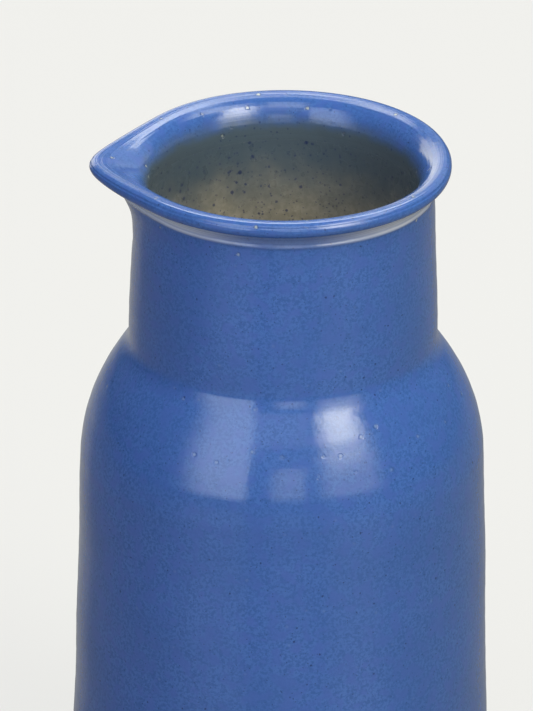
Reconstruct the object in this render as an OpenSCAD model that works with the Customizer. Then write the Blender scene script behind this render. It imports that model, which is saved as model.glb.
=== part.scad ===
// Handleless stoneware pitcher: a thrown body with a rounded shoulder, a straight neck, a rolled rim
// and one pulled pouring lip that points along -X.
// Three fired layers make it: the clay wall, a blue glaze coat outside, and a buff liner glaze inside.
// The origin is on the axis at the foot's resting face, and +Z points up.
// Every radius and height below is that of the finished, glazed surface.

/* [Overall] */
// Height from the resting face to the top of the rim
height = 210; // [200:1:225]

/* [Foot] */
// Outer radius of the bare clay foot ring
foot_r = 49.5; // [48:0.5:51]
// Width of the ring that touches the table
foot_ring_w = 6; // [4:0.5:9]
// Depth of the turned hollow inside the foot ring
foot_hollow = 1.6; // [1:0.1:2.5]
// Height at which the blue coat ends above the table
glaze_line_z = 3.2; // [2.8:0.1:4.5]
// Radius that turns the belly in to the foot
heel_r = 7; // [6:0.5:8]

/* [Belly and shoulder] */
// Radius of the belly where it meets the heel
belly_base_r = 55.4; // [54:0.2:57]
// Radius of the belly at the top, where the shoulder begins
belly_top_r = 52.1; // [50.5:0.1:53]
// Drop from the rim to the place where the shoulder begins
shoulder_drop = 82.5; // [78:0.5:88]

/* [Neck] */
// Radius of the neck at its foot, where it meets the shoulder
neck_base_r = 39.7; // [39:0.1:41]
// Radius of the neck just under the rim
neck_top_r = 38.5; // [38:0.1:39.5]
// Drop from the rim to the crease between neck and shoulder
crease_drop = 51.5; // [48:0.5:54]
// Height of the fillet above and below that crease
crease_fillet = 3; // [1.6:0.2:5]

/* [Rim] */
// Radius from the axis to the middle of the rolled bead
bead_ring_r = 40.8; // [40.5:0.1:42]
// Radius of the bead itself
bead_r = 2.1; // [1.8:0.1:2.6]
// Radius of the throat below the flared rim
throat_r = 34.4; // [33.5:0.1:34.8]
// Depth of the flare from the top of the rim to the throat
flare_depth = 9; // [8:0.5:10]

/* [Pouring lip] */
// Half angle of the part of the rim that is pulled out into the lip
lip_half_angle = 39.4; // [34:0.2:42]
// Half angle over which the point of the lip is rounded
lip_soft_angle = 7.4; // [4:0.2:9]
// Drop below the rim at which the neck starts to swell under the lip
lip_swell_drop = 24; // [20:0.5:26]
// Sag of the lip's point below the level of the rim
lip_sag = 1.6; // [0:0.1:2.5]
// Angle from the point over which that sag fades
lip_sag_angle = 40; // [30:1:50]
// Share of the bead's radius that is lost where the point is drawn thin
lip_thinning = 0.3; // [0:0.05:0.4]
// Depth of the fingers' pinch in the neck under the lip
pinch = 2; // [0:0.1:2.5]
// Drop below the rim of the middle of the pinch
pinch_drop = 13; // [11:0.5:15]
// Half height of the pinch
pinch_h = 8; // [6:0.5:9]
// Half angle of the pinch
pinch_angle = 35; // [25:1:45]

/* [Wall and glaze] */
// Thickness of each glaze layer
glaze_t = 0.5; // [0.3:0.1:0.7]
// Thickness of the finished wall at the belly
wall_t = 5.2; // [4.8:0.1:6]
// Thickness of the finished floor inside the foot ring
floor_t = 6.4; // [5.5:0.1:8]
// Inside radius of the corner between wall and floor
inner_heel_r = 14; // [10:1:18]
// Drop below the rim at which the blue coat, lapped over the rim, ends inside the throat
lap_drop = 11; // [10.5:0.5:14]

/* [Hidden] */

$fn = 180;
// Height of the seam between the turned lower part and the hand-shaped rim
seam_z = height - 30;
// The hand-shaped rim stands this far inside the turned part at the seam
seam_step = 0.1;
// Number of sections round the rim, and how strongly they crowd towards the lip, in degrees
sections = 72;
crowding = 30;

crease_z = height - crease_drop;
shoulder_z = height - shoulder_drop;
floor_z = foot_hollow + floor_t;
lap_z = height - lap_drop;

// ---- lines of points in the (radius, height) plane ----

function unit(v) = v / norm(v);
// A line moved sideways by d, towards the right of the way it runs. Its ends at the seam move level.
function offset_line(line, d) = [
    for (i = [0:len(line) - 1])
        let (
            way = line[min(i + 1, len(line) - 1)] - line[max(i - 1, 0)],
            along = line[i].y == seam_z ? [0, sign(way.y)] : unit(way)
        )
        line[i] + d * [along.y, -along.x]
];
function reversed(line) = [for (i = [len(line) - 1:-1:0]) line[i]];
function arc(centre, rx, ry, from, to, steps) = [
    for (i = [0:steps])
        let (a = from + (to - from) * i / steps)
        centre + [rx * cos(a), ry * sin(a)]
];

// ---- the turned outside: heel, belly, shoulder, crease and neck ----

heel_centre = [belly_base_r - heel_r, foot_hollow + heel_r];
belly_slope = (belly_base_r - belly_top_r) / (shoulder_z - heel_centre.y);
shoulder_rise = crease_z - shoulder_z;
shoulder_bend = (belly_top_r - neck_base_r - belly_slope * shoulder_rise) / pow(shoulder_rise, 2);
// The shoulder leaves the belly's slight cone without a break and draws in along a parabola.
function shoulder_r_at(z) =
    let (h = z - shoulder_z)
    belly_top_r - belly_slope * h - shoulder_bend * pow(h, 2);
function neck_r_at(z) =
    neck_base_r + (neck_top_r - neck_base_r) * (z - crease_z) / (height - crease_z);
// The fillet is a quadratic curve from the shoulder to the neck, pulled towards the crease.
function fillet_point(u) =
    let (
        low = [shoulder_r_at(crease_z - crease_fillet), crease_z - crease_fillet],
        crease = [neck_base_r, crease_z],
        high = [neck_r_at(crease_z + crease_fillet), crease_z + crease_fillet]
    )
    pow(1 - u, 2) * low + 2 * u * (1 - u) * crease + pow(u, 2) * high;

glaze_line_angle = asin((glaze_line_z - heel_centre.y) / heel_r);
bare_heel_angle = glaze_line_angle - 12;
shoulder_steps = 20;
shoulder_line = [
    for (i = [0:shoulder_steps])
        let (z = shoulder_z + (shoulder_rise - crease_fillet) * i / shoulder_steps)
        [shoulder_r_at(z), z]
];
turned_outside = concat(
    arc(heel_centre, heel_r, heel_r, glaze_line_angle, 0, 8),
    shoulder_line,
    [for (i = [1:8]) fillet_point(i / 8)],
    [[neck_r_at(seam_z), seam_z]]
);
turned_clay_outside = offset_line(turned_outside, -glaze_t);

// ---- the turned inside: throat, shoulder, belly wall and floor ----

turned_inside = concat(
    [[throat_r, seam_z], [throat_r, crease_z - 1]],
    [for (p = reversed(offset_line(shoulder_line, -wall_t))) if (p.x > throat_r + 1.2) p],
    arc([belly_base_r - wall_t - inner_heel_r, floor_z + inner_heel_r],
        inner_heel_r, inner_heel_r, 0, -90, 10),
    [[0, floor_z]]
);
turned_clay_inside = concat(
    [for (p = offset_line(turned_inside, -glaze_t)) if (p.x > 1) p],
    [[0, floor_z - glaze_t]]
);

// ---- the hand-shaped rim: one section for each angle away from the lip's point ----

// The rim stays round until it meets the two straight sides of the lip, which run to a rounded point.
function lip_pull(angle) =
    let (away = sqrt(pow(angle, 2) + pow(lip_soft_angle, 2)))
    bead_ring_r * (1 / cos(max(0, lip_half_angle - away)) - 1);
function clamp01(x) = min(1, max(0, x));
function bell(x, width) = exp(-pow(x / width, 2));
cove_w = 1.5;
cove_top_drop = 4.2;
cove_drop = 7.8;
swell_power = 1.45;
function cove_at(drop) = cove_w * pow(clamp01((cove_drop - drop) / (cove_drop - cove_top_drop)), 2);
function swell_at(drop) =
    pow(clamp01((lip_swell_drop - drop) / (lip_swell_drop - bead_r)), swell_power);
function pinch_at(drop, angle) =
    pinch * bell(drop - pinch_drop, pinch_h) * bell(angle, pinch_angle);
rising_drops = [height - seam_z, 24, 20.5, 17, 14, 11.5, 9.5, 7.5, 6.1, 5];
bead_steps = 7;
flare_steps = 6;

// The rim's finished surface, from the seam outside, over the bead and down to the seam inside.
function rim_section(angle) =
    let (
        pull = lip_pull(angle),
        sag = lip_sag * bell(angle, lip_sag_angle),
        roll_r = bead_r * (1 - lip_thinning * pull / lip_pull(0)),
        ring_r = bead_ring_r + pull
    )
    concat(
        [for (drop = rising_drops)
            let (side_r = neck_r_at(height - drop) + cove_at(drop) - pinch_at(drop, angle))
            [side_r + pull * swell_at(drop), height - drop - sag * sqrt(swell_at(drop))]],
        arc([ring_r, height - sag - roll_r], roll_r, roll_r, -95, 90, bead_steps),
        [for (i = [1:flare_steps])
            [ring_r, height - flare_depth]
                + [(throat_r - ring_r) * sin(90 * i / flare_steps),
                    (flare_depth - sag) * cos(90 * i / flare_steps)]],
        [[throat_r, lap_z], [throat_r, seam_z]]
    );
// Stands a line's first and last points in from the turned part, so that the seam's edges never cross.
function stepped(line) = [
    for (i = [0:len(line) - 1])
        line[i] - (line[i].y < seam_z + 0.01 ? [seam_step, 0] : [0, 0])
];
function section_angle(i) =
    let (even = 360 * i / sections)
    even - crowding * sin(even);
// The same angle measured the short way round from the lip's point, because both sides are alike.
function from_point(i) = min(section_angle(i), 360 - section_angle(i));

function rim_clay(angle) = offset_line(rim_section(angle), -glaze_t);
rim_n = len(rim_section(0));
// The blue coat covers all of the rim's line but its last stretch, which the liner covers.
function coat_part(line) = [for (i = [0:rim_n - 2]) line[i]];
function liner_part(line) = [for (i = [rim_n - 2:rim_n - 1]) line[i]];

function coat_loop(angle) = concat(
    coat_part(rim_section(angle)), reversed(coat_part(rim_clay(angle))));
function liner_loop(angle) = concat(
    liner_part(rim_section(angle)), reversed(liner_part(rim_clay(angle))));

// Skins closed loops, one for each section angle, into a ring. The lip's point is at angle 0, along -X.
module swept_ring(loops) {
    m = len(loops[0]);
    n = len(loops);
    points = [
        for (j = [0:n - 1])
            let (a = 180 + section_angle(j))
            for (p = loops[j]) [p.x * cos(a), p.x * sin(a), p.y]
    ];
    faces = [
        for (j = [0:n - 1])
            for (i = [0:m - 1])
                let (
                    a = j * m + i,
                    b = j * m + (i + 1) % m,
                    c = ((j + 1) % n) * m + (i + 1) % m,
                    d = ((j + 1) % n) * m + i
                )
                each [[a, b, c], [a, c, d]]
    ];
    polyhedron(points, faces, convexity = 6);
}

// ---- the three fired layers ----

// The fired clay wall: floor, belly, shoulder, neck and rolled rim, with a bare foot ring.
module stoneware_body() {
    bare_heel = arc(heel_centre, heel_r - glaze_t, heel_r - glaze_t,
        bare_heel_angle, glaze_line_angle, 2);
    color("tan") union() {
        rotate_extrude() polygon(concat(
            [[0, foot_hollow], [foot_r - foot_ring_w - foot_hollow, foot_hollow],
                [foot_r - foot_ring_w, 0], [foot_r, 0]],
            [for (i = [0:1]) bare_heel[i]],
            turned_clay_outside,
            turned_clay_inside
        ));
        swept_ring([for (j = [0:sections - 1]) stepped(rim_clay(from_point(j)))]);
    }
}

// The blue coat outside, from the glaze line at the foot up, over the rim and just into the throat.
module outer_glaze() {
    color("royalblue") union() {
        rotate_extrude() polygon(concat(turned_outside, reversed(turned_clay_outside)));
        swept_ring([for (j = [0:sections - 1]) stepped(coat_loop(from_point(j)))]);
    }
}

// The buff liner glaze, from the edge of the blue coat in the throat down over the floor.
module liner_glaze() {
    color("darkkhaki") union() {
        rotate_extrude() polygon(concat(turned_inside, reversed(turned_clay_inside)));
        swept_ring([for (j = [0:sections - 1]) stepped(liner_loop(from_point(j)))]);
    }
}

stoneware_body();
outer_glaze();
liner_glaze();
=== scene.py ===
# %% [markdown]
# # A stoneware pitcher, thrown, pulled and glazed
#
# The real object is one lump of clay turned on a wheel: a straight-sided belly, a round shoulder, a straight
# neck and a rolled rim. While the clay was wet the potter pulled one side of the rim out into a pouring lip.
# After the first firing a buff glaze was swilled round the inside and a blue one was laid over the outside,
# so three layers show: bare clay at the foot, blue outside and buff inside. This lesson makes each layer
# as a closed surface worked out from formulas, then paints, lights and frames it.

# %% Tools and the measured frame
import math

import bpy
import numpy as np
from mathutils import Matrix, Vector


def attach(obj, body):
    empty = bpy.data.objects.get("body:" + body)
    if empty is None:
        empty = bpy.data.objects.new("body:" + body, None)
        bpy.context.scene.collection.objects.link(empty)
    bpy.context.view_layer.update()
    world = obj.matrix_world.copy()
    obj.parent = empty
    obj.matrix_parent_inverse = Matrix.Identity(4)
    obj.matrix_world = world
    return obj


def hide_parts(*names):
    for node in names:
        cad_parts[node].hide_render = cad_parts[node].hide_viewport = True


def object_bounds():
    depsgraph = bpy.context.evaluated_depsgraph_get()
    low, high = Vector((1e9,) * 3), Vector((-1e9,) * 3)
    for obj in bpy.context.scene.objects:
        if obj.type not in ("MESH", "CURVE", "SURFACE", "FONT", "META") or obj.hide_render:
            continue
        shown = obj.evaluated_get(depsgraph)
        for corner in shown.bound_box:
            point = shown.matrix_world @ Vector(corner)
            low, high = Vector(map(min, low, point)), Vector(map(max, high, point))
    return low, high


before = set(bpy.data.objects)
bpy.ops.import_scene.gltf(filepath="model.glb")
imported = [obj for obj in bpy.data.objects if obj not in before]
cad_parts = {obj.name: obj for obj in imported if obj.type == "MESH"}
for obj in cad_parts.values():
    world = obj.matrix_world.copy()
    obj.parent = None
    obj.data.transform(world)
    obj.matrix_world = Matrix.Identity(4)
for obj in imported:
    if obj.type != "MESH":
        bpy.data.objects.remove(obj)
cad_low, cad_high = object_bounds()
MM = 0.001
HEIGHT = cad_high[2] / MM
print("pitcher height", round(HEIGHT, 1), "mm, width", round((cad_high[0] - cad_low[0]) / MM, 1), "mm")

# %% [markdown]
# ## The potter's numbers
#
# A thrown pot is described by one line: how far the wall stands from the wheel's axis at each height.
# The numbers below are that line's landmarks in millimetres. They could be read off the CAD mesh instead,
# but named numbers show what the potter decided. Depths are measured down from the rim, as a potter
# measures with a gauge held across the mouth.

# %% Landmarks of the finished surface
FOOT_R, FOOT_RING, FOOT_HOLLOW = 49.5, 6.0, 1.6
HEEL_R = 7.0
HEEL_START = -50.5  # degrees below level on the heel's round, where the glaze ends above the foot
BELLY_BASE_R, BELLY_TOP_R, SHOULDER_Z = 55.4, 52.1, HEIGHT - 82.5
NECK_BASE_R, NECK_TOP_R = 39.7, 38.5
CREASE_Z, CREASE_FILLET = HEIGHT - 51.5, 3.0
RIM_R, BEAD_R, THROAT_R, FLARE = 40.8, 2.1, 34.4, 9.0
LIP_HALF, LIP_SOFT, LIP_SWELL, SWELL_POWER = 39.4, 7.4, 24.0, 1.45
LIP_SAG, LIP_SAG_ANGLE, LIP_THINNING = 1.6, 40.0, 0.3
PINCH, PINCH_DROP, PINCH_H, PINCH_ANGLE = 2.0, 13.0, 8.0, 35.0
COVE_W, COVE_TOP, COVE_LOW, NECK_DROP = 1.5, 4.2, 7.8, 9.6
RIDGES = ((5.6, 0.12, 0.30), (8.0, 0.28, 0.45))  # drop from the rim, height, half width
GROOVES = ((30, 0.12, 8), (58, 0.03, 5), (4, 0.04, 6))  # degrees round the bead, depth, half width
GLAZE_T, WALL_T, FLOOR_Z, INNER_HEEL, LAP = 0.5, 5.2, 8.0, 14.0, 11.0
LAP_SUPPORT = 0.03  # a second row this close to the lap line keeps the shading crisp there
HEEL_X, HEEL_Z = BELLY_BASE_R - HEEL_R, FOOT_HOLLOW + HEEL_R
BELLY_SLOPE = (BELLY_BASE_R - BELLY_TOP_R) / (SHOULDER_Z - HEEL_Z)
SHOULDER_RISE = CREASE_Z - SHOULDER_Z
SHOULDER_BEND = (BELLY_TOP_R - NECK_BASE_R - BELLY_SLOPE * SHOULDER_RISE) / SHOULDER_RISE**2
print("belly cone", round(math.degrees(math.atan(BELLY_SLOPE)), 2), "degrees")
print("shoulder bend", round(SHOULDER_BEND, 4), "per mm")

# %% [markdown]
# ## The line of the turned wall
#
# Each stretch of the line is a function of height. The belly is a slight cone, the shoulder a parabola that
# leaves the cone without a break, and the neck is nearly a cylinder. Writing them as functions, rather than
# as a drawn curve, keeps the joins exact and lets the rows be as close together as each stretch needs.

# %% Radius at a height
def shoulder_r(z):
    """Radius of the shoulder.

    The belly's slope is carried on, less a bend that grows with the square of the height.
    """
    h = z - SHOULDER_Z
    return BELLY_TOP_R - BELLY_SLOPE * h - SHOULDER_BEND * h**2


def neck_r(z):
    """Radius of the neck: a straight line from its foot at the crease to its top."""
    return NECK_BASE_R + (NECK_TOP_R - NECK_BASE_R) * (z - CREASE_Z) / (HEIGHT - CREASE_Z)


def crease_line(steps):
    """The fillet between shoulder and neck.

    It is a quadratic curve pulled towards the corner where the two would meet.
    """
    u = np.linspace(0, 1, steps)[1:, None]
    low = np.array([shoulder_r(CREASE_Z - CREASE_FILLET), CREASE_Z - CREASE_FILLET])
    high = np.array([neck_r(CREASE_Z + CREASE_FILLET), CREASE_Z + CREASE_FILLET])
    corner = np.array([NECK_BASE_R, CREASE_Z])
    return (1 - u) ** 2 * low + 2 * u * (1 - u) * corner + u**2 * high


def turned_line(start_angle):
    """Points (radius, height) up the turned outside, from the heel to the crease's top.

    The heel is an arc that starts at an angle from level. Rows on the belly are about 1.4 mm apart.
    """
    a = np.radians(np.linspace(start_angle, 0, 12))
    heel = np.stack([HEEL_X + HEEL_R * np.cos(a), HEEL_Z + HEEL_R * np.sin(a)], 1)
    z = np.linspace(HEEL_Z, SHOULDER_Z, 84)[1:]
    belly = np.stack([BELLY_BASE_R - BELLY_SLOPE * (z - HEEL_Z), z], 1)
    z = np.linspace(SHOULDER_Z, CREASE_Z - CREASE_FILLET, 30)[1:]
    shoulder = np.stack([shoulder_r(z), z], 1)
    return np.concatenate([heel, belly, shoulder, crease_line(9)])


print("rows up to the crease:", len(turned_line(HEEL_START)))

# %% [markdown]
# ## The plan of the lip
#
# To make the lip, two fingers hold the rim and a third pulls the clay between them outwards, so that the
# rim's round plan becomes two straight sides that meet in a blunt point. A pull, in millimetres, says how
# far each section round the rim was drawn out. The throat below is left round.

# %% How far each section is pulled
def lip_pull(angle):
    """How far the rim is drawn out at an angle, in degrees, from the lip's point.

    Two straight sides touch the round rim as tangents: a tangent's distance is the radius over the cosine of
    the angle from where it touches. A small constant under the square root blunts the point.
    """
    away = np.sqrt(angle**2 + LIP_SOFT**2)
    return RIM_R * (1 / np.cos(np.radians(np.maximum(0, LIP_HALF - away))) - 1)


def bell(x, width):
    """A bell curve, 1 in the middle: e to the power of minus the square of x over the width."""
    return np.exp(-((x / width) ** 2))


POINT_PULL = lip_pull(np.array(0.0))
print("the lip's point stands", round(float(POINT_PULL), 2), "mm out")

# %% [markdown]
# ## Neck, cove, bead and flare
#
# The rim is a rolled bead with a soft flare inside it and a cove under it. Every section round the rim has
# the same parts, so all of them are worked out at once as arrays with a row for each step up the wall and a
# column for each section.

# %% Rows of the rim
def rim_rows(angle):
    """Radius and height arrays from the crease's top up the neck, over the bead and down to the throat.

    The side is the neck's line, plus the cove and its ridges, plus the pull eased in with height, less the
    pinch of the fingers. The bead is an arc whose radius dips in its grooves. The flare is a quarter of an
    ellipse.
    """
    pull = lip_pull(angle)[None, :]
    neck_drop = np.linspace(HEIGHT - CREASE_Z - CREASE_FILLET, NECK_DROP, 34)[1:]
    cove_drop = np.linspace(NECK_DROP, COVE_TOP + 0.1, 34)[1:]
    drop = np.concatenate([neck_drop, cove_drop])[:, None]
    cove = COVE_W * np.clip((COVE_LOW - drop) / (COVE_LOW - COVE_TOP), 0, 1) ** 2
    swell = np.clip((LIP_SWELL - drop) / (LIP_SWELL - BEAD_R), 0, 1) ** SWELL_POWER
    pinch = PINCH * bell(drop - PINCH_DROP, PINCH_H) * bell(angle, PINCH_ANGLE)[None, :]
    sag = LIP_SAG * bell(angle, LIP_SAG_ANGLE)[None, :]
    roll = BEAD_R * (1 - LIP_THINNING * pull / POINT_PULL)
    ridges = sum(h * bell(drop - d, w) for d, h, w in RIDGES)
    side = neck_r(HEIGHT - drop) + cove + ridges + pull * swell - pinch
    a = np.radians(np.linspace(-95, 90, 46))[:, None]
    dips = sum(depth * bell(a - math.radians(place), math.radians(w)) for place, depth, w in GROOVES)
    bead = RIM_R + pull + (roll - dips) * np.cos(a)
    b = np.radians(np.linspace(0, 90, 20))[1:, None]
    flare = RIM_R + pull + (THROAT_R - RIM_R - pull) * np.sin(b)
    side_height = HEIGHT - drop - sag * np.sqrt(swell)
    bead_height = HEIGHT - sag - roll + (roll - dips) * np.sin(a)
    flare_height = HEIGHT - FLARE + (FLARE - sag) * np.cos(b)
    return np.concatenate([side, bead, flare]), np.concatenate([side_height, bead_height, flare_height])


reach = rim_rows(np.array([0.0, 180.0]))[0].max(axis=0)
print("the rim reaches", round(float(reach[0]), 1), "mm at the lip and", round(float(reach[1]), 1), "behind")

# %% [markdown]
# ## The whole finished surface
#
# The outside runs from the heel over the rim to the lap line, where the blue glaze ends inside the throat.
# The inside runs on from there to the middle of the floor. Sections stand closer together near the lip's
# point, because the rim bends most there.

# %% The outside and the inside
def even_angles(count, crowding=18.0):
    """Section angles from the lip's point, in degrees. A sine taken off equal steps crowds them there."""
    even = np.arange(count) * 360 / count
    return even - crowding * np.sin(np.radians(even))


def short_way(angle):
    """The angle from the lip's point measured the short way round, from -180 to 180."""
    return (angle + 180) % 360 - 180


def outside_rows(angle):
    """Finished surface from the heel to the throat's lap line, as radius and height arrays."""
    line = turned_line(HEEL_START)
    level = np.ones((1, len(angle)))
    radius, height = rim_rows(short_way(angle))
    lap_drops = np.append(np.linspace(FLARE, LAP, 5)[1:-1], [LAP - LAP_SUPPORT, LAP])
    lap = HEIGHT - lap_drops[:, None]
    radius = np.concatenate([line[:, :1] * level, radius, THROAT_R * np.ones_like(lap) * level])
    height = np.concatenate([line[:, 1:] * level, height, lap * level])
    return radius, height


def inside_rows(angle):
    """Finished surface from the lap line down to the centre of the floor.

    The throat is a cylinder, the wall is the outside's line moved in by its thickness, and a quarter circle
    joins the wall to the floor.
    """
    z = np.append(HEIGHT - LAP, np.linspace(HEIGHT - LAP - LAP_SUPPORT, CREASE_Z - 1, 36))
    throat = np.stack([THROAT_R * np.ones_like(z), z], 1)
    line = shifted(turned_line(0), WALL_T)[::-1]
    below_throat = (line[:, 0] > THROAT_R + 0.8) & (line[:, 1] < CREASE_Z)
    wall = line[below_throat & (line[:, 1] > FLOOR_Z + INNER_HEEL)]
    a = np.radians(np.linspace(0, -90, 14))
    centre = np.array([BELLY_BASE_R - WALL_T - INNER_HEEL, FLOOR_Z + INNER_HEEL])
    corner = centre + INNER_HEEL * np.stack([np.cos(a), np.sin(a)], 1)
    floor = np.stack([np.linspace(corner[-1, 0], 0, 22)[1:], FLOOR_Z * np.ones(21)], 1)
    line = np.concatenate([throat, wall, corner, floor])
    level = np.ones((1, len(angle)))
    return line[:, :1] * level, line[:, 1:] * level


def shifted(line, distance):
    """A line moved towards the left of the way it runs: along its direction turned a quarter."""
    along = np.gradient(line, axis=0)
    along /= np.linalg.norm(along, axis=1, keepdims=True)
    return line + distance * np.stack([-along[:, 1], along[:, 0]], 1)


def shifted_rows(radius, height, distance):
    """The same move for arrays of rows, section by section."""
    dr, dz = np.gradient(radius, axis=0), np.gradient(height, axis=0)
    size = np.hypot(dr, dz)
    return radius - distance * dz / size, height + distance * dr / size


print("rows inside:", len(inside_rows(even_angles(8))[0]))

# %% [markdown]
# ## The hand's unevenness
#
# A wheel-thrown wall is never a perfect turning. Fingers rise in a spiral and leave faint rings, and the
# wall sways a little as it dries. One field of gentle waves moves every layer alike, so that the glaze stays
# on its clay. Waves that fit a whole number of times round the pot close up without a seam.

# %% Waves in the wall
rng = np.random.default_rng(11)
WAVES = 26
wave_turns = rng.integers(0, 7, WAVES)
wave_rise = rng.uniform(-1, 1, WAVES) * 2 * np.pi / 24
wave_phase = rng.uniform(0, 2 * np.pi, WAVES)
WAVE_DEPTH, RING_DEPTH = 0.03, 0.02
RING_PITCH, FINE_PITCH = 7, 4.1
STILL_BELOW, STILL_EASE = 6, 20


def unevenness(angle, height):
    """Millimetres to add to the radius.

    It is a sum of low waves, plus a fine spiral ring every 7 mm. It fades out near the foot, which is flat.
    """
    turn = np.radians(angle)[None, :]
    waves = sum(np.sin(n * turn + rise * height + phase)
                for n, rise, phase in zip(wave_turns, wave_rise, wave_phase))
    rings = np.sin(2 * np.pi * height / RING_PITCH - turn)
    spiral = rings + 0.6 * np.sin(2 * np.pi * height / FINE_PITCH - turn)
    fade = np.clip((height - STILL_BELOW) / STILL_EASE, 0, 1)
    return (WAVE_DEPTH * waves + RING_DEPTH * spiral) * fade


samples = unevenness(np.arange(0, 360, 5.0), np.linspace(10, HEIGHT, 50)[:, None])
print("unevenness up to", round(float(np.abs(samples).max()), 2), "mm")

# %% [markdown]
# ## From rows to a closed mesh
#
# Rows of points become faces by joining each point to its neighbours in the next row and the next section.
# Each point also keeps a few measures of its own, such as its distance up the wall. The paint reads them
# later to lay fine lines along the turning, where a texture in space would smear.

# %% One closed surface
def to_mesh(name, radius, height, angle, capped, marks=None):
    """Rows of radius and height at section angles, as one closed mesh.

    Capped rows start and end in a point on the axis; otherwise the last row joins the first. Each vertex
    keeps its distance up the wall as "up", and any other marks that are given row by row.
    """
    radius = radius + unevenness(angle, height) * (radius > 0.5)
    turn = np.radians(angle)[None, :]
    place = np.stack([-radius * np.cos(turn), -radius * np.sin(turn), height], -1) * MM
    step = np.linalg.norm(np.diff(place, axis=0), axis=2).mean(axis=1)
    up = np.concatenate([[0], np.cumsum(step)])[:, None] * np.ones_like(turn)
    cols = len(angle)
    if capped:
        ends = np.array([place[0].mean(0), place[-1].mean(0)])
        place, up_ends, up = place[1:-1], up[[0, -1], 0], up[1:-1]
    rows = len(place)
    k, j = np.meshgrid(np.arange(rows - 1 if capped else rows), np.arange(cols), indexing="ij")
    k2, j2 = (k + 1) % rows, (j + 1) % cols
    quads = np.stack([k * cols + j, k * cols + j2, k2 * cols + j2, k2 * cols + j], -1).reshape(-1, 4)
    points, faces, ups = place.reshape(-1, 3), quads.tolist(), up.ravel()
    if capped:
        j, low, high = np.arange(cols), rows * cols, rows * cols + 1
        j2 = (j + 1) % cols
        faces += np.stack([np.full(cols, low), j2, j], 1).tolist()
        last = (rows - 1) * cols
        faces += np.stack([last + j, last + j2, np.full(cols, high)], 1).tolist()
        points, ups = np.concatenate([points, ends]), np.concatenate([ups, up_ends])
    mesh = bpy.data.meshes.new(name)
    mesh.from_pydata(points, [], faces)
    mesh.attributes.new("up", "FLOAT", "POINT").data.foreach_set("value", ups)
    for mark, values in (marks or {}).items():
        mesh.attributes.new(mark, "FLOAT", "POINT").data.foreach_set("value", np.repeat(values, cols))
    mesh.polygons.foreach_set("use_smooth", np.ones(len(faces), bool))
    piece = bpy.data.objects.new(name, mesh)
    bpy.context.scene.collection.objects.link(piece)
    print(name, sum(len(f) - 2 for f in faces), "triangles")
    return piece


# %% [markdown]
# ## The blue coat
#
# The coat is a skin half a millimetre thick. Its outside is the finished surface, and its back lies on the
# clay. It could be one open sheet with a Solidify modifier, but working out both faces keeps its back
# exactly where the clay is, and lets the back have fewer rows.
#
# Two marks go with it. "collar" is 1 on the band under the bead, and "tooled" says how strongly the turning
# lines show: most on the outside of the rim, less on the flare, and hardly at all below.

# %% Blue coat
angles = even_angles(288)
radius, height = outside_rows(angles)
back_r, back_h = shifted_rows(radius, height, GLAZE_T)
fewer = np.unique(np.append(np.arange(0, len(radius), 5), len(radius) - 1))[::-1]
drop = HEIGHT - height[:, np.argmin(np.abs(angles - 180))]
outside = np.arange(len(drop)) < np.argmin(drop)
back = np.zeros(len(fewer))
collar = np.interp(drop, [4.3, 4.9, 7.9, 8.5], [0, 1, 1, 0]) * outside
tooled = np.where(outside, np.interp(drop, [8.5, 12], [0.65, 0.1]), np.interp(drop, [0, 2], [1, 0.25]))
marks = {"collar": np.append(collar, back), "tooled": np.append(tooled, back)}
coat_r, coat_h = np.concatenate([radius, back_r[fewer]]), np.concatenate([height, back_h[fewer]])
coat = to_mesh("blue_coat", coat_r, coat_h, angles, False, marks)
print("rows in the collar:", int((collar > 0.5).sum()))

# %% [markdown]
# ## The buff liner
#
# The liner starts where the blue one ends inside the throat, and runs down the wall and over the floor.

# %% Liner
liner_angles = even_angles(192)
in_r, in_h = inside_rows(liner_angles)
under_r, under_h = shifted_rows(in_r, in_h, GLAZE_T)
under_r[-1] = 0
liner_r, liner_h = np.concatenate([under_r[::-3], in_r]), np.concatenate([under_h[::-3], in_h])
liner = to_mesh("buff_liner", liner_r, liner_h, liner_angles, True)

# %% [markdown]
# ## The clay wall
#
# Almost all of the clay is hidden under glaze, but the foot is wiped bare so that the pot doesn't stick to
# the kiln shelf. The clay is the same lines again, moved in by the glaze's thickness, with the turned foot
# ring and the shallow hollow inside it.

# %% Clay
clay_angles = even_angles(192)
out_r, out_h = outside_rows(clay_angles)
out_r, out_h = shifted_rows(out_r, out_h, GLAZE_T)
in_r, in_h = inside_rows(clay_angles)
in_r, in_h = shifted_rows(in_r, in_h, GLAZE_T)
in_r[-1] = 0
ring_in = FOOT_R - FOOT_RING
hollow = np.stack([np.linspace(0, ring_in - FOOT_HOLLOW, 8), FOOT_HOLLOW * np.ones(8)], 1)
ring = [[ring_in - 0.4, 0.4], [ring_in, 0.08], [ring_in + 0.3, 0.0], [FOOT_R - 1.0, 0.0],
        [FOOT_R - 0.3, 0.15], [FOOT_R, 0.5], [FOOT_R + 0.6, 1.2], [out_r[0, 0] - 0.4, out_h[0, 0] - 0.7]]
foot = np.concatenate([hollow, np.array(ring)])
level = np.ones((1, len(clay_angles)))
clay_r = np.concatenate([foot[:, :1] * level, out_r[::2], in_r[1:]])
clay_h = np.concatenate([foot[:, 1:] * level, out_h[::2], in_h[1:]])
clay = to_mesh("clay_wall", clay_r, clay_h, clay_angles, True)

# %% [markdown]
# ## Each layer takes its part's place
#
# Nothing on a pitcher moves, so every layer rides on the root. Each replaces one CAD part, which is hidden.

# %% Riding and replacing
for piece, node, slot in ((coat, "outer_glaze", "blue_glaze"), (liner, "liner_glaze", "liner_glaze"),
                          (clay, "stoneware_body", "fired_clay")):
    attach(piece, "root")
    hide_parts(node)
    print(piece.name, "replaces", node)

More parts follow.
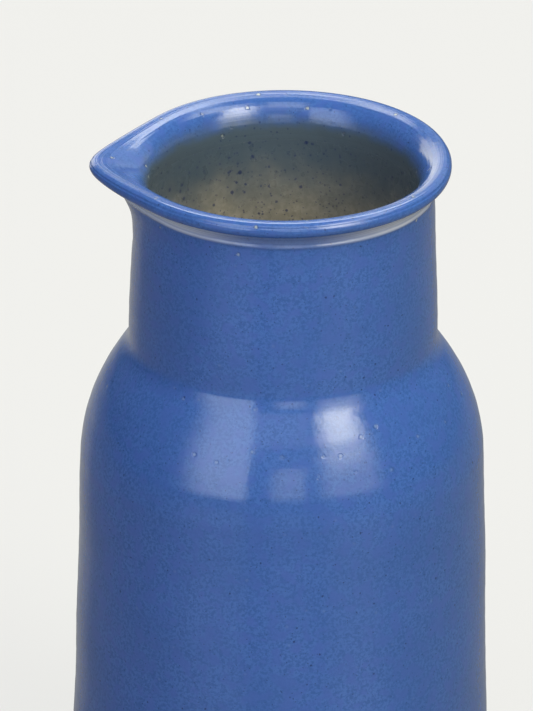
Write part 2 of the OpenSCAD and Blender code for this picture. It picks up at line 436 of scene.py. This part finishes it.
# %% [markdown]
# ## Painting with nodes
#
# A stoneware glaze isn't one flat colour. It has a fine mottle, dark specks where iron in the clay bleeds
# through, a few pale pinholes, and it thins where it laps over the rim. Each of these is a small pattern,
# and they are mixed one over another. Patterns read Object coordinates in metres, so their sizes are real
# ones. A few short helpers keep the recipes readable.

# %% Small helpers for material nodes
def put(tree, kind, settings=None, **inputs):
    """One node. Settings are its own choices; inputs are values, or sockets to link from.

    An underscore in an input's name stands for a space.
    """
    made = tree.nodes.new("ShaderNode" + kind)
    for key, value in (settings or {}).items():
        setattr(made, key, value)
    for key, value in inputs.items():
        socket = made.inputs[key.replace("_", " ")]
        if isinstance(value, bpy.types.NodeSocket):
            tree.links.new(value, socket)
        else:
            socket.default_value = value
    return made


def ramp(tree, value, low, high, start=0.0, end=1.0):
    """A value eased from start to end as it goes from low to high."""
    made = put(tree, "MapRange", {"interpolation_type": "SMOOTHSTEP"}, Value=value,
               From_Min=low, From_Max=high, To_Min=start, To_Max=end)
    return made.outputs["Result"]


def blend(tree, factor, first, second):
    """Two colours mixed by a factor."""
    made = tree.nodes.new("ShaderNodeMix")
    made.data_type = "RGBA"
    for socket, value in ((made.inputs[0], factor), (made.inputs[6], first), (made.inputs[7], second)):
        if isinstance(value, bpy.types.NodeSocket):
            tree.links.new(value, socket)
        else:
            socket.default_value = value if isinstance(value, float) else (*value, 1.0)
    return made.outputs[2]


def sums(tree, operation, first, second):
    """One sum of two values, such as ADD or MULTIPLY."""
    made = tree.nodes.new("ShaderNodeMath")
    made.operation = operation
    for socket, value in zip(made.inputs, (first, second)):
        if isinstance(value, bpy.types.NodeSocket):
            tree.links.new(value, socket)
        else:
            socket.default_value = value
    return made.outputs[0]


def times(tree, first, second):
    """Two values multiplied."""
    return sums(tree, "MULTIPLY", first, second)


def mark(tree, name):
    """One of the measures that the mesh's points keep."""
    return put(tree, "Attribute", {"attribute_name": name}).outputs["Fac"]


def noise(tree, where, size, detail=2.0, roughness=0.5):
    """A cloudy pattern whose patches are about as wide as size, in metres."""
    made = put(tree, "TexNoise", Vector=where, Scale=1 / size, Detail=detail, Roughness=roughness)
    return made.outputs[0]


def ragged(tree, where):
    """The same places pushed about by a very fine noise, so that round specks come out uneven."""
    jitter = put(tree, "TexNoise", Vector=where, Scale=1500.0)
    push = put(tree, "VectorMath", {"operation": "SCALE"}, Vector=jitter.outputs["Color"], Scale=0.0006)
    moved = put(tree, "VectorMath", {"operation": "ADD"}, Vector=push.outputs[0])
    tree.links.new(where, moved.inputs[1])
    return moved.outputs[0]


def specks(tree, where, spacing, radius, share, soft=0.7):
    """Round specks, 1 inside and 0 outside. Each is whole within soft times the radius and fades to it.

    They sit in cells as wide as spacing, in metres, and only a share of the cells has one.
    """
    cells = put(tree, "TexVoronoi", Vector=where, Scale=1 / spacing)
    lottery = put(tree, "SeparateColor", Color=cells.outputs["Color"])
    chosen = sums(tree, "LESS_THAN", lottery.outputs[0], share)
    inside = ramp(tree, cells.outputs["Distance"], radius / spacing, soft * radius / spacing)
    return times(tree, inside, chosen)


def new_material(name):
    """An empty node material with its output and its surface shader."""
    material = bpy.data.materials.new(name)
    material.use_nodes = True
    tree = material.node_tree
    tree.nodes.clear()
    surface = tree.nodes.new("ShaderNodeBsdfPrincipled")
    output = tree.nodes.new("ShaderNodeOutputMaterial")
    tree.links.new(surface.outputs[0], output.inputs[0])
    return material, tree, surface


def finish_surface(tree, surface, colour, roughness, relief, depth):
    """Joins colour, roughness and relief to the surface. Depth is the relief's height in metres."""
    tree.links.new(colour, surface.inputs["Base Color"])
    tree.links.new(roughness, surface.inputs["Roughness"])
    bump = put(tree, "Bump", Height=relief, Distance=depth, Strength=1.0)
    tree.links.new(bump.outputs[0], surface.inputs["Normal"])


print("helpers for nodes are ready")

# %% [markdown]
# ## The blue glaze
#
# The body of the colour is three blues. A grain-sized mottle mixes the bright and the deep one, patches a
# few millimetres wide lean to violet, and clouds as wide as a thumb go deeper again.

# %% Mottled blue
BLUE, DEEP_BLUE, VIOLET_BLUE = (0.045, 0.112, 0.339), (0.030, 0.082, 0.267), (0.044, 0.093, 0.319)
# The pale blue is a painted glint, for light caught in the shoulder's pinholes.
SPECK_BLUE, PALE, PALE_BLUE_GLINT = (0.010, 0.020, 0.075), (0.36, 0.39, 0.33), (0.26, 0.36, 0.48)
# The pale grey is partly thin glaze and partly a painted reflection under the bead.
PALE_GREY_SHEEN, SLATE = (0.46, 0.48, 0.54), (0.056, 0.080, 0.104)
MOTTLE, PATCH, CLOUD = 0.0008, 0.0035, 0.018

blue, tree, surface = new_material("blue_speckled_glaze")
here = put(tree, "TexCoord").outputs["Object"]
parts = put(tree, "SeparateXYZ", Vector=here)
height_here = parts.outputs[2]
across, along = (sums(tree, "POWER", parts.outputs[axis], 2.0) for axis in (0, 1))
from_axis = sums(tree, "SQRT", sums(tree, "ADD", across, along), 0.0)
strewn = ragged(tree, here)
colour = blend(tree, ramp(tree, noise(tree, here, MOTTLE, 2.0, 0.7), 0.36, 0.62), DEEP_BLUE, BLUE)
colour = blend(tree, ramp(tree, noise(tree, here, PATCH, 3.0), 0.45, 0.65, 0.0, 0.8), colour, VIOLET_BLUE)
colour = blend(tree, ramp(tree, noise(tree, here, CLOUD, 3.0), 0.35, 0.65, 0.0, 0.35), colour, DEEP_BLUE)
print("blues from", DEEP_BLUE, "to", BLUE)

# %% [markdown]
# Where the coat laps down into the throat it gets thin and goes slate grey. The slate begins high on the
# flare, where it is partly painted shade inside the mouth. The line wanders, so the height it depends on has
# a little noise added. Iron specks lie over blue and slate alike, with a few more in the slate.

# %% The thin edge inside the throat, with painted shade, and the iron specks
SLATE_START, SLATE_WHOLE = 3.0, 8.6  # mm below the rim
SPECK_RECIPE = ((0.0013, 0.00021, 0.6, 0.5), (0.0032, 0.00032, 0.5, 0.65))  # spacing, radius, share, depth
wander = times(tree, sums(tree, "SUBTRACT", noise(tree, here, 0.005), 0.5), 0.0035)
lap_height = sums(tree, "ADD", height_here, wander)
# Painted shade: the slate on the flare is partly the thin blue's own colour and partly shade inside the
# mouth.
thinned_and_shaded = ramp(tree, lap_height, (HEIGHT - SLATE_START) * MM, (HEIGHT - SLATE_WHOLE) * MM)
inside_pot = ramp(tree, from_axis, 0.0378, 0.0362)
slate = times(tree, thinned_and_shaded, inside_pot)
colour = blend(tree, slate, colour, SLATE)
for spacing, size, share, strength in SPECK_RECIPE:
    spots = specks(tree, strewn, spacing, size, share)
    colour = blend(tree, times(tree, spots, strength), colour, SPECK_BLUE)
in_slate = times(tree, specks(tree, strewn, 0.0017, 0.00034, 0.7), times(tree, slate, 0.7))
colour = blend(tree, in_slate, colour, SPECK_BLUE)
print("slate comes in from", SLATE_START, "to", SLATE_WHOLE, "mm below the rim")

# %% [markdown]
# Pinholes are bubbles that burst while the glaze was setting. Each leaves a shallow pit. On the rim the pit
# is pale at the bottom where the clay's light body shows; on the shoulder its pale blue centre is a painted
# glint of the light caught in the pit. They come in the last drips of glaze: on the rim and on the shoulder.
# They are painted and lightly dented by the relief, which also has the lines left by turning, the soft
# orange peel of melted glaze and a fine grain.

# %% Pinholes with painted glints, tool lines and relief
PIT_SPACING, PIT_R, CORE_R, PIT_SHARE = 0.0046, 0.00080, 0.00062, 0.6
rim_zone = ramp(tree, height_here, (HEIGHT - 13) * MM, (HEIGHT - 9) * MM)
shoulder_low = ramp(tree, height_here, (CREASE_Z - 22) * MM, (CREASE_Z - 14) * MM)
shoulder_high = ramp(tree, height_here, (CREASE_Z + 2) * MM, (CREASE_Z - 4) * MM)
shoulder_zone = times(tree, times(tree, shoulder_low, shoulder_high), 0.45)
zone = sums(tree, "MAXIMUM", sums(tree, "MAXIMUM", rim_zone, shoulder_zone), 0.1)
pits = times(tree, specks(tree, strewn, PIT_SPACING, PIT_R, PIT_SHARE), zone)
pale_cores_and_glints = times(tree, specks(tree, strewn, PIT_SPACING, CORE_R, PIT_SHARE, 0.2), zone)
colour = blend(tree, times(tree, pits, 0.3), colour, SPECK_BLUE)
# Painted glint: on the shoulder the pale blue centres of the pits stand for caught light; on the rim the
# pale centres are the clay's body.
colour = blend(tree, times(tree, pale_cores_and_glints, 0.7), colour, blend(tree, rim_zone, PALE_BLUE_GLINT, PALE))
drifting = sums(tree, "ADD", mark(tree, "up"), times(tree, noise(tree, here, 0.02), 0.0006))
lines = put(tree, "TexNoise", {"noise_dimensions": "1D"}, W=drifting, Scale=1300.0,
            Detail=2.0, Roughness=0.7).outputs[0]
turning = times(tree, lines, times(tree, mark(tree, "tooled"), 1.7))
peel = times(tree, noise(tree, here, 0.0024, 2.0), 0.6)
grain = times(tree, noise(tree, here, 0.0009, 1.0), 0.22)
relief = sums(tree, "ADD", turning, sums(tree, "ADD", peel, grain))
relief = sums(tree, "SUBTRACT", relief, times(tree, pits, 1.6))
print("a pinhole is", round(2 * PIT_R / MM, 1), "mm across")

# %% [markdown]
# Under the bead the coat is made pale in fine turned streaks, most of all at the two sides. This is
# partly thin glaze and partly a painted reflection: the sheen of grazing light that the cove catches at
# the two sides, and a little painted light where the bead shades the cove at the front. Front and back
# keep nearly all of their blue.

# %% The thin collar, with a painted reflection
# Painted reflection: the pale grey is strongest at the two sides, where grazing light catches the cove, and
# a little painted light lifts the shaded cove at the front.
sheen_at_sides = ramp(tree, sums(tree, "ABSOLUTE", parts.outputs[0], 0.0), 0.006, 0.029, 0.15, 0.85)
streaks = ramp(tree, lines, 0.3, 0.6, 0.65, 1.0)
thin_glaze_and_sheen = times(tree, mark(tree, "collar"), times(tree, sheen_at_sides, streaks))
colour = blend(tree, thin_glaze_and_sheen, colour, PALE_GREY_SHEEN)
gloss = ramp(tree, noise(tree, here, 0.003), 0.3, 0.7, 0.12, 0.17)
finish_surface(tree, surface, colour, gloss, relief, 0.00006)
coat.data.materials.append(blue)
print(blue.name, "has", len(tree.nodes), "nodes")

# %% [markdown]
# ## The buff liner glaze
#
# The liner is a satin buff. It goes from slate at the lap to buff lower down: partly blue that ran down into
# its upper part, and partly painted shade on the wall under the rim. It is full of dark specks of three
# sizes.

# %% Buff, and slate with painted shade
BUFF_DEEP, BUFF = (0.26, 0.235, 0.18), (0.335, 0.305, 0.24)
LINER_SPECKS = ((0.0012, 0.00027, 0.7, 0.65), (0.0021, 0.00041, 0.6, 0.75), (0.0044, 0.00062, 0.5, 0.8))
liner_glaze, tree, surface = new_material("buff_liner_glaze")
here = put(tree, "TexCoord").outputs["Object"]
height_here = put(tree, "SeparateXYZ", Vector=here).outputs[2]
wander = times(tree, sums(tree, "SUBTRACT", noise(tree, here, 0.007), 0.5), 0.012)
lap_height = sums(tree, "ADD", height_here, wander)
colour = blend(tree, ramp(tree, noise(tree, here, 0.0016, 3.0), 0.35, 0.65), BUFF_DEEP, BUFF)
# Painted shade: the slate darkens the wall towards the rim, partly as blue that ran down and partly as shade
# under the rim.
overspray_and_shade = ramp(tree, lap_height, (HEIGHT - 40) * MM, (HEIGHT - 13) * MM)
colour = blend(tree, overspray_and_shade, colour, SLATE)
strewn = ragged(tree, here)
for spacing, size, share, strength in LINER_SPECKS:
    spots = specks(tree, strewn, spacing, size, share)
    colour = blend(tree, times(tree, spots, strength), colour, SPECK_BLUE)
satin = ramp(tree, noise(tree, here, 0.003), 0.3, 0.7, 0.25, 0.35)
finish_surface(tree, surface, colour, satin, noise(tree, here, 0.002), 0.00005)
liner.data.materials.append(liner_glaze)
print(liner_glaze.name, "has", len(tree.nodes), "nodes")

# %% [markdown]
# ## The bare clay
#
# The foot is dry and rough, warm buff with a few brown iron specks.

# %% Fired clay
CLAY_DEEP, CLAY, IRON_BROWN = (0.47, 0.37, 0.26), (0.60, 0.50, 0.37), (0.16, 0.10, 0.06)
bare, tree, surface = new_material("bare_stoneware")
here = put(tree, "TexCoord").outputs["Object"]
colour = blend(tree, ramp(tree, noise(tree, here, 0.0012, 4.0), 0.35, 0.65), CLAY_DEEP, CLAY)
colour = blend(tree, times(tree, specks(tree, here, 0.0030, 0.00035, 0.5), 0.7), colour, IRON_BROWN)
dry = ramp(tree, noise(tree, here, 0.002), 0.3, 0.7, 0.7, 0.9)
finish_surface(tree, surface, colour, dry, noise(tree, here, 0.0008, 4.0), 0.00015)
clay.data.materials.append(bare)
print(bare.name, "has", len(tree.nodes), "nodes")

# %% [markdown]
# ## The table
#
# A pot with a glossy glaze is lit by what it reflects, and its wall looks down into the table. To the eye
# the table is an even, pale card that takes a faint shade. To the glaze it is a darker, slightly glossy
# board, because a white one would wash out the blue of the wall. It lies a tenth of a millimetre below the
# foot, so that the two faces don't flicker where they touch.

# %% Floor
SIDE, TABLE_Z = 8.0, -0.0001
CARD_GLOW = 0.657
corners = [(-SIDE, -SIDE, TABLE_Z), (SIDE, -SIDE, TABLE_Z), (SIDE, SIDE, TABLE_Z), (-SIDE, SIDE, TABLE_Z)]
floor_mesh = bpy.data.meshes.new("floor")
floor_mesh.from_pydata(corners, [], [(0, 1, 2, 3)])
floor = bpy.data.objects.new("floor", floor_mesh)
bpy.context.scene.collection.objects.link(floor)
floor_white, tree, surface = new_material("floor_white")
surface.inputs["Base Color"].default_value = (0.16, 0.16, 0.16, 1.0)
surface.inputs["Roughness"].default_value = 0.3
surface.inputs["IOR"].default_value = 1.3
pale = put(tree, "Emission", Color=(1.0, 1.0, 0.985, 1.0), Strength=CARD_GLOW)
shade = put(tree, "BsdfDiffuse", Color=(0.12, 0.12, 0.12, 1.0))
seen = put(tree, "AddShader")
tree.links.new(pale.outputs[0], seen.inputs[0])
tree.links.new(shade.outputs[0], seen.inputs[1])
either = put(tree, "MixShader", Fac=put(tree, "LightPath").outputs["Is Camera Ray"])
tree.links.new(surface.outputs[0], either.inputs[1])
tree.links.new(seen.outputs[0], either.inputs[2])
tree.links.new(either.outputs[0], next(n for n in tree.nodes if n.type == "OUTPUT_MATERIAL").inputs[0])
floor_mesh.materials.append(floor_white)
print("table", 2 * SIDE, "m wide")

# %% [markdown]
# ## Softboxes
#
# Each light is a rectangle whose glow fades towards its edges, as a real softbox does. They are placed by
# the angles at which the pot sees them, because that is what decides where a glossy shoulder shows them. A
# tall window stands to the left of the camera and the key to its right, with a small card between. The rest
# light the rim from above and keep the back from going black.

# %% Lights
LOOK_AT, LAMP_DISTANCE, TIP_ABOVE = Vector((0, 0, 0.15)), 1.4, math.radians(44)
LEAST_FADE = 0.001


def faded(tree, along, low, high):
    """A light's strength across itself: it rises over the low part of the way and falls over the high."""
    rise = ramp(tree, along, 0.0, max(low, LEAST_FADE))
    return times(tree, rise, ramp(tree, along, 1.0, 1.0 - max(high, LEAST_FADE)))


def softbox(name, edges, brightness, fades=(0, 0, 0, 0), tint=(1.0, 0.99, 0.88)):
    """A lit rectangle turned towards the pot.

    Its left, right, low and high edges are angles in degrees, seen from the pot's shoulder: turned to the
    right of the camera's side, or standing above the level. A box whose middle is below 44 degrees stands
    upright, and a higher one tips forward to face the pot. Brightness is the light its brightest point
    gives, 1 being white paper. Fades are the shares of the width or height over which each edge dies away.
    """
    left, right, low, high = np.radians(edges)
    turn, rise = (left + right) / 2, (low + high) / 2
    tipped = rise > TIP_ABOVE
    aside = Vector((math.sin(turn), -math.cos(turn), 0))
    if tipped:
        place = LAMP_DISTANCE * (aside * math.cos(rise) + Vector((0, 0, math.sin(rise))))
        length = 2 * LAMP_DISTANCE * math.tan((high - low) / 2)
    else:
        bottom, top = LAMP_DISTANCE * math.tan(low), LAMP_DISTANCE * math.tan(high)
        place = LAMP_DISTANCE * aside + Vector((0, 0, (bottom + top) / 2))
        length = top - bottom
    width = 2 * math.tan((right - left) / 2) * place.xy.length
    light = bpy.data.lights.new(name, "AREA")
    light.shape, light.size, light.size_y = "RECTANGLE", width, length
    light.energy = brightness * math.pi * width * length
    light.color = tint
    light.use_nodes = True
    tree = light.node_tree
    where = put(tree, "SeparateXYZ", Vector=put(tree, "NewGeometry").outputs["Parametric"])
    across = faded(tree, where.outputs[0], fades[0], fades[1])
    strength = times(tree, across, faded(tree, where.outputs[1], fades[2], fades[3]))
    tree.links.new(strength, tree.nodes["Emission"].inputs["Strength"])
    lamp = bpy.data.objects.new(name, light)
    lamp.location = LOOK_AT + place
    lamp.rotation_euler = (-place if tipped else -aside).to_track_quat("-Z", "Y").to_euler()
    bpy.context.scene.collection.objects.link(lamp)
    print(name, round(width, 2), "by", round(length, 2), "m")


softbox("window", (-66, -20, -6, 52), 3.2, (0.5, 0.02, 0.16, 0.1), (0.88, 0.96, 1.08))
softbox("key", (19, 63, 8, 60), 12.4, (0.45, 0.4, 0.4, 0.22), (1.0, 0.98, 0.86))
softbox("key_low", (19, 62, -6, 24), 1.9, (0.3, 0.3, 0.45, 0.4))
softbox("card", (-9, 19, -6, 26), 1.9, (0.3, 0.3, 0.5, 0.3))
softbox("high_front", (-20, 20, 26, 46), 0.8, (0.1, 0.1, 0.4, 0.1))
softbox("top_front", (-25, 25, 46, 70), 3.4, (0.2, 0.2, 0.2, 0.2))
softbox("high_right", (40, 110, 46, 68), 4.6, (0.2, 0.2, 0.2, 0.2))
softbox("high_back", (130, 225, 42, 75), 7.0, (0.15, 0.15, 0.15, 0.15))
softbox("low_back", (-180, -136, 3, 30), 2.6, (0.1, 0.1, 0.1, 0.1), (1.0, 0.97, 0.82))
softbox("back_right", (125, 175, 16, 42), 0.6)

# %% [markdown]
# ## The air of the room
#
# A little cool light from everywhere stands for the walls. It keeps shadows open and adds no shape to the
# reflections. The Standard view shows colours as they are mixed.

# %% World and view
world = bpy.data.worlds.new("studio_air")
bpy.context.scene.world = world
world.use_nodes = True
world.node_tree.nodes["Background"].inputs["Color"].default_value = (0.93, 0.97, 1.0, 1.0)
world.node_tree.nodes["Background"].inputs["Strength"].default_value = 0.12
bpy.context.scene.view_settings.view_transform = "Standard"

# %% [markdown]
# ## Camera
#
# The camera stands two metres off with a long lens and looks down by about 25 degrees, so that the mouth
# opens and the lip points left. The lens is worked out from how much height the frame takes in at that
# distance. The camera is also rolled by about a third of a degree.

# %% Camera
AIM, PIVOT_Z = Vector((-4.2, 0, 153.5)) * MM, 0.161
ELEVATION, DISTANCE, ROLL = math.radians(25.45), 2.0, math.radians(0.315)
VIEW_HEIGHT, SENSOR = 0.18264, 36
camera = bpy.data.objects.new("camera", bpy.data.cameras.new("camera"))
camera.data.sensor_width = SENSOR
camera.data.lens = SENSOR * DISTANCE / VIEW_HEIGHT
camera.location = Vector((0, -DISTANCE * math.cos(ELEVATION), PIVOT_Z + DISTANCE * math.sin(ELEVATION)))
turn = (AIM - camera.location).to_track_quat("-Z", "Y").to_matrix() @ Matrix.Rotation(ROLL, 3, "Z")
camera.rotation_euler = turn.to_euler()
bpy.context.scene.collection.objects.link(camera)
bpy.context.scene.camera = camera
print("lens", round(camera.data.lens), "mm")
